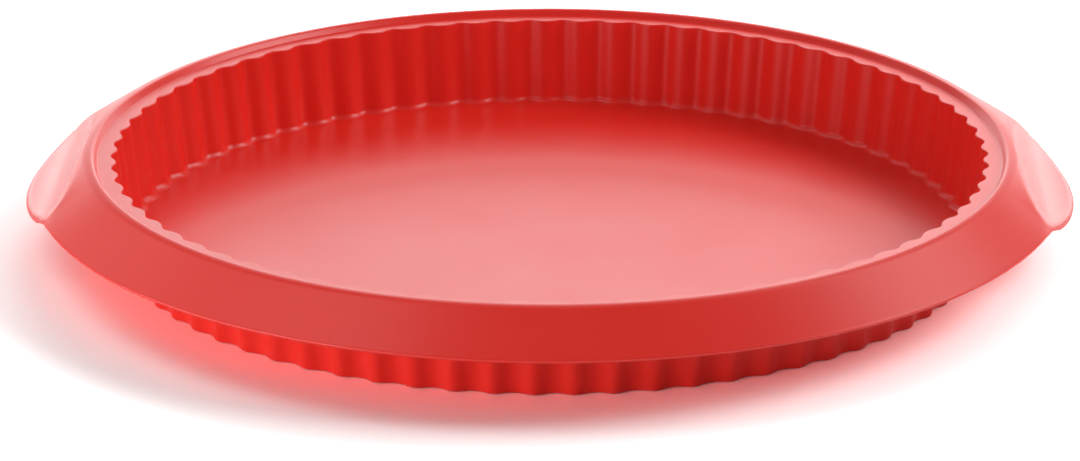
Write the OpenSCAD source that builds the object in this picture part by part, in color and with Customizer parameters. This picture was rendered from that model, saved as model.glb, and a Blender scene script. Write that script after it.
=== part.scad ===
/* [Mould] */
// Diameter of the cavity at the ledge, halfway between the lobes and grooves
mould_d = 280; // [180:1:340]
// Height from the table to the crest of the rim
mould_h = 32.4; // [24:0.1:45]
// Thickness of the silicone in the wall, the rim and the tabs
skin_t = 1.4; // [1:0.1:2]
// Thickness of the floor
floor_t = 1.6; // [1:0.1:3]
// Lean of the wall away from upright, in degrees
wall_draft = 7; // [3:0.5:12]
// Radius of the fillet between the floor and the wall
floor_fillet = 1.5; // [0.6:0.1:3]
// Bevel of the edge that the mould stands on
base_bevel = 1; // [0.4:0.1:1.5]

/* [Flutes] */
// Number of flutes round the wall
flute_n = 72; // [36:1:90]
// Depth of a flute, from the crest of a lobe to the bottom of a groove
flute_depth = 1.7; // [0.8:0.1:2.5]
// Share of each flute that is taken by the lobe bulging into the cavity
lobe_share = 0.62; // [0.4:0.01:0.7]
// Turn of the flutes from the line through the two tabs, in degrees
flute_turn = 1.7; // [0:0.1:5]

/* [Rim] */
// Width of the ledge, from the middle of the flutes to the foot of the crest
ledge_w = 5; // [4:0.1:8]
// Rise from the ledge to the crest of the rim
crest_rise = 2.1; // [1.6:0.1:3]
// Slope of the crest's inner side, in degrees above level
crest_slope = 60; // [50:1:75]
// Radius of the crest on its inner side
crest_inner_r = 1.2; // [0.6:0.1:1.5]
// Radius of the crest on its outer side, where it rolls over into the skirt
crest_outer_r = 5.4; // [3:0.1:7]
// Level width of the skirt, from the crest to its edge
skirt_w = 18; // [16:0.5:22]
// Slope of the skirt below level, in degrees
skirt_slope = 33; // [31:0.5:38]

/* [Grip tabs] */
// Reach of a tab past the edge of the skirt
tab_reach = 3.4; // [2:0.1:6]
// Angle from the middle of a tab to its corner, in degrees
tab_angle = 17; // [14:0.5:20]
// Drop from the top of the skirt to the nose of a tab
tab_drop = 14.3; // [12:0.1:18]
// Radius of the hollow that is scooped across a tab for the thumb
tab_hollow_r = 24; // [20:0.5:40]

/* [Hidden] */
$fn = 240;

// Points along one flute, and along one rounding of the section or of the floor's fillet
flute_steps = 8;
round_steps = 4;
fillet_steps = 2;

// Radii and levels of the rim, counted outwards from the cavity
cavity_r = mould_d / 2;
ledge_z = mould_h - crest_rise;
foot_r = cavity_r + ledge_w;
crest_run = crest_inner_r * sin(crest_slope)
    + (crest_rise - crest_inner_r * (1 - cos(crest_slope))) / tan(crest_slope);
crest_r = foot_r + crest_run;
skirt_r = crest_r + skirt_w;
// Where the crest has rolled over into the straight skirt
skirt_top_r = crest_r + crest_outer_r * sin(skirt_slope);
skirt_top_z = mould_h - crest_outer_r * (1 - cos(skirt_slope));
// The round edge of the skirt, in the middle of its skin
edge_r = skin_t / 2;
edge_z = skirt_top_z - (skirt_r - skirt_top_r - edge_r) * tan(skirt_slope) - edge_r / cos(skirt_slope);
// Upright distance through the skin of the skirt
skirt_cut = skin_t / cos(skirt_slope);

// The wall's middle line at the floor, and the drop of its radius per unit of height
draft_rate = tan(wall_draft);
floor_r = cavity_r - (ledge_z - floor_t) * draft_rate;
base_r = floor_r + skin_t - floor_t * draft_rate;
// Overlap that carries one solid into the next
bite = skin_t / 2;

// The tabs: a hollow skin that falls from the skirt's top to the nose, cut to a round outline
tab_corner_x = skirt_r * cos(tab_angle);
tab_corner_y = skirt_r * sin(tab_angle);
tab_nose = skirt_r + tab_reach;
tab_outline_r = (pow(tab_corner_y, 2) + pow(tab_nose - tab_corner_x, 2)) / (2 * (tab_nose - tab_corner_x));
// The hollow's axis, level and across the tab, over the middle of the line from top to nose
tab_run = tab_nose - skirt_top_r;
tab_chord = norm([tab_run, tab_drop]);
tab_rise = sqrt(pow(tab_hollow_r, 2) - pow(tab_chord / 2, 2)) / tab_chord;
tab_axis_x = skirt_top_r + tab_run / 2 + tab_rise * tab_drop;
tab_axis_z = skirt_top_z - tab_drop / 2 + tab_rise * tab_run;

// Offset of the flute line towards the axis at turn u of one flute, u from -0.5 to 0.5:
// a broad arc for the lobe and a narrow one for the groove, meeting with one tangent
function flute_wave(u) =
    let (away = 2 * abs(u), groove_share = 1 - lobe_share)
    away < lobe_share
        ? lobe_share * (1 - pow(away / lobe_share, 2))
        : -groove_share * (1 - pow((1 - away) / groove_share, 2));

// One closed ring of points along the flutes, with its middle line at radius r
function flute_ring(r, z) = [
    for (i = [0 : flute_n * flute_steps - 1])
        let (turn = i / flute_steps)
        let (a = 360 * turn / flute_n + flute_turn)
        let (reach = r - flute_depth * flute_wave(turn - round(turn)))
        [reach * cos(a), reach * sin(a), z]
];

// Points of a rounding about centre c, from angle a to angle b, counted from the first one wanted
function rounding(c, r, a, b, steps = round_steps, first = 0) = [
    for (i = [first : steps])
        let (t = a + (b - a) * i / steps)
        c + r * [cos(t), sin(t)]
];

// Solid with a fluted outline that changes in size from level to level,
// each level given as the radius and height of its middle line, from the bottom up
module fluted_solid(levels) {
    count = flute_n * flute_steps;
    rings = [for (level = levels) flute_ring(level[0], level[1])];
    sides = [
        for (k = [0 : len(levels) - 2], i = [0 : count - 1])
            let (j = (i + 1) % count)
            [k * count + i, (k + 1) * count + i, (k + 1) * count + j, k * count + j]
    ];
    bottom = [for (i = [0 : count - 1]) i];
    top = [for (i = [count - 1 : -1 : 0]) (len(levels) - 1) * count + i];
    polyhedron([for (ring = rings) each ring], concat(sides, [bottom, top]));
}

// Outside of the pan, from the base up into the ledge
module pan_outside() {
    top_z = ledge_z - bite;
    fluted_solid([
        [base_r - base_bevel, 0],
        [base_r + base_bevel * draft_rate, base_bevel],
        [base_r + top_z * draft_rate, top_z]
    ]);
}

// Cavity of the pan, with its fillet at the floor, up through the ledge
module pan_cavity() {
    centre = [floor_r - floor_fillet, floor_t + floor_fillet];
    foot = rounding(centre, floor_fillet, -90, -wall_draft, fillet_steps);
    top_z = mould_h + bite;
    fluted_solid(concat(foot, [[cavity_r + (top_z - ledge_z) * draft_rate, top_z]]));
}

// Section of the rim: ledge, crest and skirt, in one even skin with a round edge
module rim_section() {
    inner_r = cavity_r - ledge_w;
    lean = 90 - skirt_slope;
    crest_inner = [crest_r, mould_h - crest_inner_r];
    crest_outer = [crest_r, mould_h - crest_outer_r];
    polygon(concat(
        [[inner_r, ledge_z], [foot_r, ledge_z]],
        rounding(crest_inner, crest_inner_r, 90 + crest_slope, 90),
        rounding(crest_outer, crest_outer_r, 90, lean, first = 1),
        rounding([skirt_r - edge_r, edge_z], edge_r, lean, lean - 180),
        rounding(crest_outer, crest_outer_r - skin_t, lean, 90),
        [[foot_r + skin_t * tan(crest_slope / 2), ledge_z - skin_t], [inner_r, ledge_z - skin_t]]
    ));
}

// Level roller of radius r on the axis of the right tab's hollow
module tab_roller(r) {
    translate([tab_axis_x, 0, tab_axis_z])
        rotate([90, 0, 0])
            cylinder(r = r, h = 2 * (tab_corner_y + skin_t), center = true);
}

// Round outline of the right tab, as an upright column
module tab_column() {
    translate([tab_nose - tab_outline_r, 0, 0])
        cylinder(r = tab_outline_r, h = mould_h);
}

// Space under the middle of the rim's skin, in which a tab's skin takes over from the skirt
module under_rim() {
    top_z = skirt_top_z - skirt_cut / 2;
    low_r = skirt_top_r + top_z / tan(skirt_slope);
    rotate_extrude()
        polygon([[0, 0], [low_r, 0], [skirt_top_r, top_z], [0, top_z]]);
}

// Skin of the right tab, hollow for the thumb
module tab_skin() {
    intersection() {
        difference() {
            tab_roller(tab_hollow_r + skin_t);
            tab_roller(tab_hollow_r);
        }
        tab_column();
        under_rim();
    }
}

// Rim with a tab at each end of the X axis
module rim() {
    difference() {
        rotate_extrude() rim_section();
        tab_roller(tab_hollow_r);
        mirror([1, 0, 0]) tab_roller(tab_hollow_r);
    }
    tab_skin();
    mirror([1, 0, 0]) tab_skin();
}

// The whole mould, in one piece
module mould() {
    color("firebrick")
        difference() {
            union() {
                rim();
                pan_outside();
            }
            pan_cavity();
        }
}

mould();
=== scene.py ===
import math
import bmesh
import bpy
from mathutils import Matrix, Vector


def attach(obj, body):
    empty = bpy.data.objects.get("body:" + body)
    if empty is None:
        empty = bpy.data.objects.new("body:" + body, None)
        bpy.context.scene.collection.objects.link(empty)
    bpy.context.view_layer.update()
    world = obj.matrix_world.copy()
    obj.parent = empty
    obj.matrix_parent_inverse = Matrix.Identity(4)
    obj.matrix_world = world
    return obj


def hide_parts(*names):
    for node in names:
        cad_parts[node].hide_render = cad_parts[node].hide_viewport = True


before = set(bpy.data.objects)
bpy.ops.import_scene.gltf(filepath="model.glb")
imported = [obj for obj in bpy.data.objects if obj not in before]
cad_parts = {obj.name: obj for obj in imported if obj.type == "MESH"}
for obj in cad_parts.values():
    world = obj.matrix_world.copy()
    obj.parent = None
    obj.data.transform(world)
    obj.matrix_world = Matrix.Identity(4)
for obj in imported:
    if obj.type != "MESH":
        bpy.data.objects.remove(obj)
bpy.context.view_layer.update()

# The mould: one skin of soft red silicone about 1.4 mm thick, moulded in one shot. Real ones come
# out of a heated press tool, so every edge is softly rounded and the flutes of the wall show on
# both sides. Here it is one closed band of loops, drawn out from the middle of the floor.
floor_level = 0.0016
hub_radius = 0.060
flutes = 72
flute_columns = 12
flute_turn = 1.7
column_angle = 360 / (flutes * flute_columns)
axis = (0, 0, 0)
bpy.ops.object.select_all(action="DESELECT")
bpy.ops.mesh.primitive_circle_add(
    vertices=flutes * flute_columns, radius=hub_radius, fill_type="TRIFAN",
    location=(0, 0, floor_level))
mould = bpy.context.object
mould.name = "mould_skin"
mould.data.name = "mould_skin"
bpy.ops.object.transform_apply(location=True, rotation=False, scale=False)
bpy.ops.object.mode_set(mode="EDIT")
bpy.ops.mesh.select_mode(type="VERT")
bpy.ops.mesh.select_all(action="SELECT")
bpy.ops.transform.rotate(value=math.radians(-flute_turn), orient_axis="Z", center_override=axis)

# Sizes of the wall, which leans out, of the crest that rises from the ledge at its top, and of
# the skirt, which the crest rolls over into
skin_thickness = 0.0014
cavity_radius = 0.140
wall_lean = math.tan(math.radians(7))
ledge_level = 0.0303
under_ledge = ledge_level - skin_thickness
foot_radius = 0.145
crest_level = 0.0324
under_crest = crest_level - skin_thickness
crest_slope = math.radians(60)
inner_round = 0.0012
outer_round = 0.0054
skirt_width = 0.018
skirt_slope = math.radians(33)

# Corners of the skin's section, each a radius and a level: the upper side, then the under side.
# The lip is still square here, and its corner stands out by lip_square past a round one
floor_edge = (cavity_radius - (ledge_level - floor_level) * wall_lean, floor_level)
wall_top = (cavity_radius, ledge_level)
crest_foot = (foot_radius, ledge_level)
crest_inner = (foot_radius + (crest_level - ledge_level) / math.tan(crest_slope), crest_level)
crest_middle = crest_inner[0] + inner_round * math.tan(crest_slope / 2)
crest_outer = (crest_middle + outer_round * math.tan(skirt_slope / 2), crest_level)
skirt_radius = crest_middle + skirt_width
lip_square = skin_thickness / 2 * (math.sin(skirt_slope) + math.cos(skirt_slope) - 1)
lip_radius = skirt_radius + lip_square
skirt_lip = (lip_radius, crest_level - (lip_radius - crest_outer[0]) * math.tan(skirt_slope))
skirt_lip_under = (
    skirt_lip[0] - skin_thickness * math.sin(skirt_slope),
    skirt_lip[1] - skin_thickness * math.cos(skirt_slope),
)
crest_outer_under = (
    crest_middle + (outer_round - skin_thickness) * math.tan(skirt_slope / 2), under_crest)
crest_inner_under = (crest_middle, under_crest)
crest_foot_under = (foot_radius + skin_thickness * math.tan(crest_slope / 2), under_ledge)
base_edge = (floor_edge[0] + skin_thickness - floor_level * wall_lean, 0)
wall_top_under = (base_edge[0] + under_ledge * wall_lean, under_ledge)

# A ring that only divides the floor, and the distance below which two points are in one place
floor_ring = 0.120
hair = 0.00001


def pick(test, kind="vert"):
    """Selects the mould's vertices, edges or faces that pass the test, in edit mode."""
    bpy.ops.mesh.select_mode(type=kind.upper())
    bpy.ops.mesh.select_all(action="DESELECT")
    mesh = bmesh.from_edit_mesh(mould.data)
    for item in getattr(mesh, kind + "s"):
        if test(item):
            item.select_set(True)
    mesh.select_flush_mode()
    bmesh.update_edit_mesh(mould.data)


def spread(place):
    """Distance of a point from the upright axis of the mould."""
    return math.hypot(place.x, place.y)


def facing(face, side):
    """Whether a face looks up (side 1) or down (side -1)."""
    return face.normal.z * side > 0.3


# The section of the skin, loop by loop: floor, wall, ledge, crest and skirt on top, then back
# under the skirt and crest, down the outer wall and in under the base
pick(lambda v: spread(v.co) > hub_radius / 2)
reach = hub_radius
level = floor_level
for next_reach, next_level in (
    (floor_ring, floor_level), floor_edge, wall_top, crest_foot, crest_inner, crest_outer, skirt_lip,
    skirt_lip_under, crest_outer_under, crest_inner_under, crest_foot_under, wall_top_under,
    base_edge, (floor_ring, 0), (hub_radius, 0),
):
    bpy.ops.mesh.extrude_edges_move()
    scale = next_reach / reach
    bpy.ops.transform.resize(value=(scale, scale, 1), center_override=axis)
    bpy.ops.transform.translate(value=(0, 0, next_level - level))
    reach = next_reach
    level = next_level
bpy.ops.mesh.extrude_edges_move()
bpy.ops.mesh.merge(type="CENTER")
bpy.ops.mesh.select_all(action="SELECT")
bpy.ops.mesh.normals_make_consistent(inside=False)

# The flutes: a broad lobe towards the cavity and a narrow groove between two lobes
flute_depth = 0.0017
lobe_share = 0.62
groove_share = 1 - lobe_share
wall_radius = 0.139
walls = (floor_edge, wall_top, wall_top_under, base_edge)


def on_wall(place, column):
    """Whether a point is on one of the wall's four loops and in one column of its flute."""
    turn = math.degrees(math.atan2(place.y, place.x)) - flute_turn
    if round(turn / column_angle) % flute_columns != column:
        return False
    return any(abs(spread(place) - w[0]) < hair and abs(place.z - w[1]) < hair for w in walls)


for column in range(flute_columns):
    away = min(column, flute_columns - column) / (flute_columns / 2)
    if away < lobe_share:
        wave = lobe_share * (1 - (away / lobe_share) ** 2)
    else:
        wave = -groove_share * (1 - ((1 - away) / groove_share) ** 2)
    pick(lambda v: on_wall(v.co, column))
    scale = 1 - flute_depth * wave / wall_radius
    bpy.ops.transform.resize(value=(scale, scale, 1), center_override=axis)

# The round outline of the two grip tabs, drawn out of the skirt's lip column by column, as an
# arc from corner to corner over the nose. Past lip_zone there is nothing but the lip
tab_angle = math.radians(17)
tab_reach = 0.0034
tab_nose = skirt_radius + tab_reach
tab_bulge = tab_nose - skirt_radius * math.cos(tab_angle)
outline_radius = (tab_bulge + (skirt_radius * math.sin(tab_angle)) ** 2 / tab_bulge) / 2
outline_middle = tab_nose - outline_radius
tab_columns = math.ceil(math.degrees(tab_angle) / column_angle)
lip_zone = 0.160
for column in range(-tab_columns, tab_columns + 1):
    turn = math.radians(column * column_angle + flute_turn % column_angle)
    outline = outline_middle * math.cos(turn) + math.sqrt(
        outline_radius ** 2 - (outline_middle * math.sin(turn)) ** 2)
    pick(lambda v: spread(v.co) > lip_zone
         and abs(v.co.y - math.copysign(spread(v.co), v.co.x) * math.sin(turn)) < hair)
    scale = max(outline / skirt_radius, 1)
    bpy.ops.transform.resize(value=(scale, scale, 1), center_override=axis)


def along(edge, corners):
    """Whether an edge runs round the mould at one of these corners of the section."""
    start = edge.verts[0].co
    end = edge.verts[1].co
    if abs(start.z - end.z) > hair or abs(spread(start) - spread(end)) > wavy_slack:
        return False
    for corner in corners:
        slack = wavy_slack if corner in walls else plain_slack
        if abs(start.z - corner[1]) < hair and abs(spread(start) - corner[0]) < slack:
            return True
    return False


# The rounded edges and corners of the section. The slacks are how far an edge may lie from its
# corner, on the wall with its flutes and elsewhere
wavy_slack = 0.0011
plain_slack = 0.0003
for width, segments, corners in (
    (0.00195, 5, (floor_edge,)),
    (0.00044, 3, (wall_top,)),
    (0.00023, 2, (crest_foot,)),
    (0.00069, 4, (crest_inner,)),
    (0.00159, 6, (crest_outer,)),
    (0.00118, 4, (crest_outer_under,)),
    (0.00040, 2, (crest_foot_under, wall_top_under)),
    (0.00087, 4, (base_edge,)),
):
    pick(lambda e: along(e, corners), "edge")
    bpy.ops.mesh.bevel(
        offset=width, segments=segments, profile=0.5, affect="EDGES", clamp_overlap=False)


def down_skirt(edge, side):
    """Whether an edge runs down the skirt, on its upper side (1) or its under side (-1)."""
    middle = spread((edge.verts[0].co + edge.verts[1].co) / 2)
    return skirt_from < middle < skirt_to and all(facing(face, side) for face in edge.link_faces)


# Loops across the skirt, above and below, fine enough to take the scoop of the tabs. An edge
# whose middle is between skirt_from and skirt_to runs all the way down it
skirt_from = 0.152
skirt_to = 0.162
for side in (1, -1):
    pick(lambda e: down_skirt(e, side), "edge")
    bpy.ops.mesh.subdivide_edgering(number_cuts=14, interpolation="LINEAR")

# The scoop of the tabs, pressed into the skirt by two level rollers: one for the skin's upper
# side and one for its under side, a skin's thickness larger. Their axis is placed so that the
# smaller one touches the top of the skirt and the tab's nose, which is tab_drop lower
scoop_radius = 0.024
tab_drop = 0.0143
skirt_top_radius = crest_middle + outer_round * math.sin(skirt_slope)
skirt_top_level = crest_level - outer_round * (1 - math.cos(skirt_slope))
tab_run = tab_nose - skirt_top_radius
tab_line = math.hypot(tab_run, tab_drop)
lift = math.sqrt(scoop_radius ** 2 - (tab_line / 2) ** 2) / tab_line
scoop_x = skirt_top_radius + tab_run / 2 + lift * tab_drop
scoop_level = skirt_top_level - tab_drop / 2 + lift * tab_run
past_crest = 0.1488
roller_length = 0.14
for side, name in ((1, "upper"), (-1, "under")):
    pick(lambda f: facing(f, side) and spread(f.calc_center_median()) > past_crest, "face")
    mould.vertex_groups.new(name=name)
    bpy.ops.object.vertex_group_assign()
bpy.ops.object.mode_set(mode="OBJECT")
for name, radius in (("upper", scoop_radius), ("under", scoop_radius + skin_thickness)):
    pair = []
    for side in (1, -1):
        bpy.ops.mesh.primitive_cylinder_add(
            vertices=720, radius=radius, depth=roller_length,
            location=(scoop_x * side, 0, scoop_level), rotation=(math.radians(90), 0, 0))
        pair.append(bpy.context.object)
    pair[0].select_set(True)
    bpy.ops.object.join()
    bpy.ops.object.select_all(action="DESELECT")
    mould.select_set(True)
    bpy.context.view_layer.objects.active = mould
    bpy.ops.object.modifier_add(type="SHRINKWRAP")
    press = mould.modifiers[-1]
    press.target = pair[1]
    press.wrap_method = "PROJECT"
    press.use_project_z = True
    press.use_negative_direction = True
    press.use_positive_direction = False
    press.vertex_group = name
    bpy.ops.object.modifier_apply(modifier=press.name)
    bpy.data.objects.remove(pair[1])
mould.vertex_groups.clear()


def scoop_over_skirt(place):
    """How much higher the scoop's surface is than the skirt's, at a point."""
    from_middle = abs(place.x) - scoop_x
    scoop = scoop_level - math.sqrt(max(scoop_radius ** 2 - from_middle ** 2, 0))
    skirt = skirt_top_level - (spread(place) - skirt_top_radius) * math.tan(skirt_slope)
    return scoop - skirt


# The soft crease round each scoop, where it is nearly as high as the skirt, and the rounded lip
# of the skirt and the tabs, where the skin bends by more than lip_bend
crease_start = 0.1505
crease_height = 0.0012
lip_bend = 0.8
lip_round = 0.0006
bpy.ops.object.mode_set(mode="EDIT")
pick(lambda v: spread(v.co) > crease_start and abs(scoop_over_skirt(v.co)) < crease_height)
bpy.ops.mesh.vertices_smooth(factor=0.5, repeat=2, xaxis=False, yaxis=False)
pick(lambda e: spread(e.verts[0].co) > lip_zone and e.calc_face_angle(0) > lip_bend, "edge")
bpy.ops.mesh.bevel(
    offset=lip_round, segments=3, profile=0.5, affect="EDGES", clamp_overlap=False)
bpy.ops.mesh.select_all(action="SELECT")
bpy.ops.mesh.remove_doubles(threshold=hair)
bpy.ops.mesh.normals_make_consistent(inside=False)
bpy.ops.object.mode_set(mode="OBJECT")
bpy.ops.object.shade_smooth()
bpy.ops.object.modifier_add(type="WEIGHTED_NORMAL")
bpy.ops.object.modifier_apply(modifier=mould.modifiers[-1].name)
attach(mould, "root")
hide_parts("mould")

# Red silicone: a satin skin over a coloured rubber that lets red light through where it is thin.
# The press tool was polished in the two thumb scoops and left finely matt everywhere else, so
# the skin is smoother within a small distance of the scoops' rounds
red = bpy.data.materials.new("red_silicone")
red.use_nodes = True
nodes = red.node_tree.nodes
links = red.node_tree.links
skin = nodes["Principled BSDF"]
skin.inputs["Subsurface Weight"].default_value = 0.3
skin.inputs["Subsurface Radius"].default_value = (1.0, 0.1, 0.08)
skin.inputs["Subsurface Scale"].default_value = 0.0015
coords = nodes.new("ShaderNodeTexCoord")
split = nodes.new("ShaderNodeSeparateXYZ")
links.new(coords.outputs["Object"], split.inputs["Vector"])
either_side = nodes.new("ShaderNodeMath")
either_side.operation = "ABSOLUTE"
links.new(split.outputs["X"], either_side.inputs[0])
across = nodes.new("ShaderNodeCombineXYZ")
links.new(either_side.outputs["Value"], across.inputs["X"])
links.new(split.outputs["Z"], across.inputs["Z"])
from_axis = nodes.new("ShaderNodeVectorMath")
from_axis.operation = "DISTANCE"
from_axis.inputs[1].default_value = (scoop_x, 0, scoop_level)
links.new(across.outputs["Vector"], from_axis.inputs[0])
polish_full = 0.0001
polish_ends = 0.0006
polish = nodes.new("ShaderNodeMapRange")
polish.interpolation_type = "SMOOTHSTEP"
polish.inputs["From Min"].default_value = scoop_radius + polish_full
polish.inputs["From Max"].default_value = scoop_radius + polish_ends
polish.inputs["To Min"].default_value = 0.22
polish.inputs["To Max"].default_value = 0.33
links.new(from_axis.outputs["Value"], polish.inputs["Value"])
cloud = nodes.new("ShaderNodeTexNoise")
cloud.inputs["Scale"].default_value = 30
cloud.inputs["Detail"].default_value = 2
links.new(coords.outputs["Object"], cloud.inputs["Vector"])
uneven = nodes.new("ShaderNodeMapRange")
uneven.inputs["From Min"].default_value = 0.3
uneven.inputs["From Max"].default_value = 0.7
uneven.inputs["To Min"].default_value = 0.93
uneven.inputs["To Max"].default_value = 1.07
links.new(cloud.outputs["Fac"], uneven.inputs["Value"])
matt = nodes.new("ShaderNodeMath")
matt.operation = "MULTIPLY"
links.new(polish.outputs["Result"], matt.inputs[0])
links.new(uneven.outputs["Result"], matt.inputs[1])
links.new(matt.outputs["Value"], skin.inputs["Roughness"])
tint = nodes.new("ShaderNodeMix")
tint.data_type = "RGBA"
tint.inputs["A"].default_value = (0.85, 0.024, 0.015, 1)
tint.inputs["B"].default_value = (0.89, 0.030, 0.018, 1)
links.new(cloud.outputs["Fac"], tint.inputs["Factor"])
links.new(tint.outputs["Result"], skin.inputs["Base Color"])
grain = nodes.new("ShaderNodeTexNoise")
grain.inputs["Scale"].default_value = 900
grain.inputs["Detail"].default_value = 1
links.new(coords.outputs["Object"], grain.inputs["Vector"])
bump = nodes.new("ShaderNodeBump")
bump.inputs["Strength"].default_value = 0.15
bump.inputs["Distance"].default_value = 0.00003
links.new(grain.outputs["Fac"], bump.inputs["Height"])
links.new(bump.outputs["Normal"], skin.inputs["Normal"])
mould.data.materials.clear()
mould.data.materials.append(red)

# The white table, a round one that ends under the lamps, where the white of the room takes over.
# It lies just below the base. Its paint is brighter for the camera than for the light that it
# throws on the mould, and halfway between the two in the mould's gloss
table_radius = 1.45
table_level = -0.0001
bpy.ops.object.select_all(action="DESELECT")
bpy.ops.mesh.primitive_circle_add(
    vertices=96, radius=table_radius, fill_type="NGON", location=(0, 0, table_level))
table = bpy.context.object
table.name = "table"
white = bpy.data.materials.new("white_table")
white.use_nodes = True
nodes = white.node_tree.nodes
links = white.node_tree.links
top = nodes.new("ShaderNodeBsdfDiffuse")
path = nodes.new("ShaderNodeLightPath")
paint = nodes.new("ShaderNodeMix")
paint.data_type = "RGBA"
paint.inputs["A"].default_value = (0.9, 0.9, 0.9, 1)
paint.inputs["B"].default_value = (1.85, 1.85, 1.85, 1)
shown = nodes.new("ShaderNodeMath")
shown.operation = "MULTIPLY_ADD"
shown.inputs[1].default_value = 0.5
links.new(path.outputs["Is Glossy Ray"], shown.inputs[0])
links.new(path.outputs["Is Camera Ray"], shown.inputs[2])
links.new(shown.outputs["Value"], paint.inputs["Factor"])
links.new(paint.outputs["Result"], top.inputs["Color"])
links.new(top.outputs["BSDF"], nodes["Material Output"].inputs["Surface"])
table.data.materials.append(white)

# The room: white for the camera, and dim all round for the light that it gives
world = bpy.data.worlds.new("white_room")
bpy.context.scene.world = world
world.use_nodes = True
nodes = world.node_tree.nodes
links = world.node_tree.links
path = nodes.new("ShaderNodeLightPath")
seen = nodes.new("ShaderNodeMix")
seen.inputs["A"].default_value = 0.19
seen.inputs["B"].default_value = 1.0
links.new(path.outputs["Is Camera Ray"], seen.inputs["Factor"])
links.new(seen.outputs["Result"], nodes["Background"].inputs["Strength"])
nodes["Background"].inputs["Color"].default_value = (1, 1, 1, 1)

# The soft boxes, all turned to the mould: the key at the right and a smaller one beside it, a low
# wall of light behind with two boxes over it, a strip below the rim and a low box at the left, and
# one overhead. Each has its width, height, power, height angle and angle round from the right
lamp_distance = 1.5
aim = Vector((0, 0, 0.02))
for name, wide, high, energy, rise, turn in (
    ("key", 0.9, 0.7, 10.8, 36, 1),
    ("key_edge", 0.6, 0.6, 2.6, 45, 40),
    ("wall_behind", 2.4, 0.5, 8.6, 10, 90),
    ("over_behind", 0.7, 0.7, 4.4, 35, 90),
    ("over_behind_left", 0.7, 0.7, 1.4, 35, 150),
    ("left_strip", 1.6, 0.03, 10.0, 0.6, 202),
    ("front_left", 0.9, 0.5, 4.6, 10, 224),
    ("top_left", 0.7, 0.7, 2.2, 62, 180),
):
    lamp = bpy.data.lights.new(name, "AREA")
    lamp.shape = "RECTANGLE"
    lamp.size = wide
    lamp.size_y = high
    lamp.energy = energy
    box = bpy.data.objects.new(name, lamp)
    level_distance = lamp_distance * math.cos(math.radians(rise))
    box.location = (
        level_distance * math.cos(math.radians(turn)),
        level_distance * math.sin(math.radians(turn)),
        lamp_distance * math.sin(math.radians(rise)),
    )
    box.rotation_euler = (aim - box.location).to_track_quat("-Z", "Y").to_euler()
    box.visible_camera = False
    bpy.context.collection.objects.link(box)

# The camera, where the photographer stood
lens = bpy.data.cameras.new("photo")
lens.sensor_width = 36
lens.lens = 147.867
camera = bpy.data.objects.new("photo", lens)
camera.location = (0.02547, -1.35125, 0.4883)
camera.rotation_euler = (math.radians(70.2161), math.radians(0.0042), math.radians(1.2092))
bpy.context.collection.objects.link(camera)
bpy.context.scene.camera = camera
bpy.context.scene.view_settings.view_transform = "Standard"
